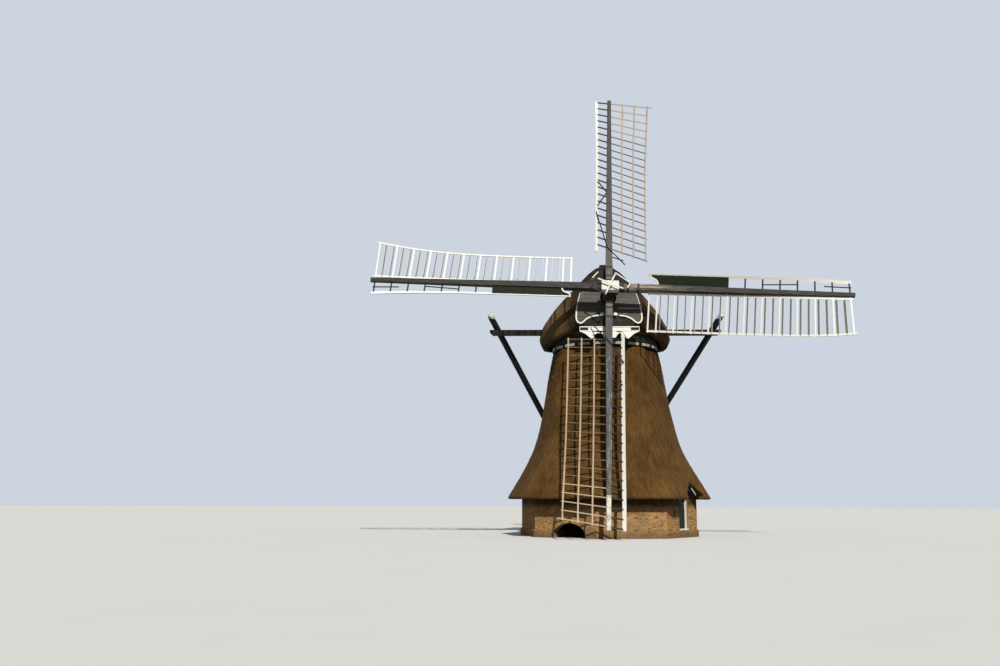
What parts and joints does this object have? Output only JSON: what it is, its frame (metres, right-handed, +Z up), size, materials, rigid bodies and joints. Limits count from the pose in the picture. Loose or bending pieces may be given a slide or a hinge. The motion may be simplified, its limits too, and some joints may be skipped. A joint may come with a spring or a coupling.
{
  "type": "traditional windmill",
  "caption": "Thatched octagonal drainage windmill on a brick base, with a turning cap, tail pole and four sails: two open cloth lattices and two with shutters.",
  "frame": {"origin": "on the ground at the middle of the octagonal base", "axes": "+Z up; the sails face -Y at rest; +X to the right of someone who looks at the sails"},
  "size_m": [20.9902, 11.9134, 20.739],
  "materials": {
    "brick": "old yellow-brown brick",
    "floor": "worn floor bricks",
    "thatch": "weathered reed thatch",
    "white_wood": "weathered white paint",
    "green_wood": "dark green paint",
    "black_wood": "tarred black",
    "grey_boards": "weathered tarred boards",
    "oak": "old oak",
    "sail_wood": "weathered white paint",
    "stock_grey": "weathered grey paint",
    "stock_dark": "dark gloss paint",
    "cast_iron": "rough cast",
    "white_iron": "white paint on cast iron",
    "bracket_iron": "black paint",
    "shutter": "thin white painted wood"
  },
  "bodies": {
    "tower": {"corner_posts": "oak", "curb_ring": "green_wood", "door_frame": "white_wood", "door_gable": "white_wood", "door_threshold": "brick", "ground_floor": "floor", "thatch_channel": "thatch", "thatch_door": "thatch", "thatch_front": "thatch", "thatch_left": "thatch", "thatch_rear": "thatch", "thatch_rear_left": "thatch", "thatch_rear_right": "thatch", "thatch_right": "thatch", "wall_channel": "brick", "wall_door_over": "brick", "wall_door_sides": "brick", "wall_front": "brick", "wall_left": "brick", "wall_rear": "brick", "wall_rear_left": "brick", "wall_rear_right": "brick", "wall_right": "brick"},
    "door": {"door_leaf": "green_wood"},
    "cap": {"cap_thatch_left": "thatch", "cap_thatch_right": "thatch", "cap_ridge": "black_wood", "front_shield": "grey_boards", "breast_board": "grey_boards", "beard": "white_wood", "rear_shield": "grey_boards", "side_beams": "oak", "cap_ring": "oak", "neck_beam": "oak", "tail_beam": "oak", "cross_beams": "black_wood", "tail_pole": "black_wood", "braces": "black_wood", "winch_wheel": "bracket_iron"},
    "rotor": {"windshaft": "cast_iron", "poll_end": "white_iron", "stock_outer": "stock_dark", "stock_inner": "stock_grey", "cloth_lattices": "sail_wood", "shutter_frames": "white_wood", "shutters": "shutter", "leading_edges": "white_wood", "brackets": "bracket_iron", "wind_boards": "green_wood", "spider": "white_iron"}
  },
  "joints": [
    {"name": "cap_turn", "type": "hinge", "parent": "tower", "child": "cap", "pos_m": [0, 0, 8.85], "axis": [0, 0, 1], "continuous": true},
    {"name": "rotor_spin", "type": "hinge", "parent": "cap", "child": "rotor", "pos_m": [0, -3.2, 10.67], "axis": [0, -0.9694, 0.2453], "continuous": true},
    {"name": "door_swing", "type": "hinge", "parent": "tower", "child": "door", "pos_m": [2.69053, -2.10844, 0.375], "axis": [0, 0, 1], "range_deg": [0, 95]}
  ]
}
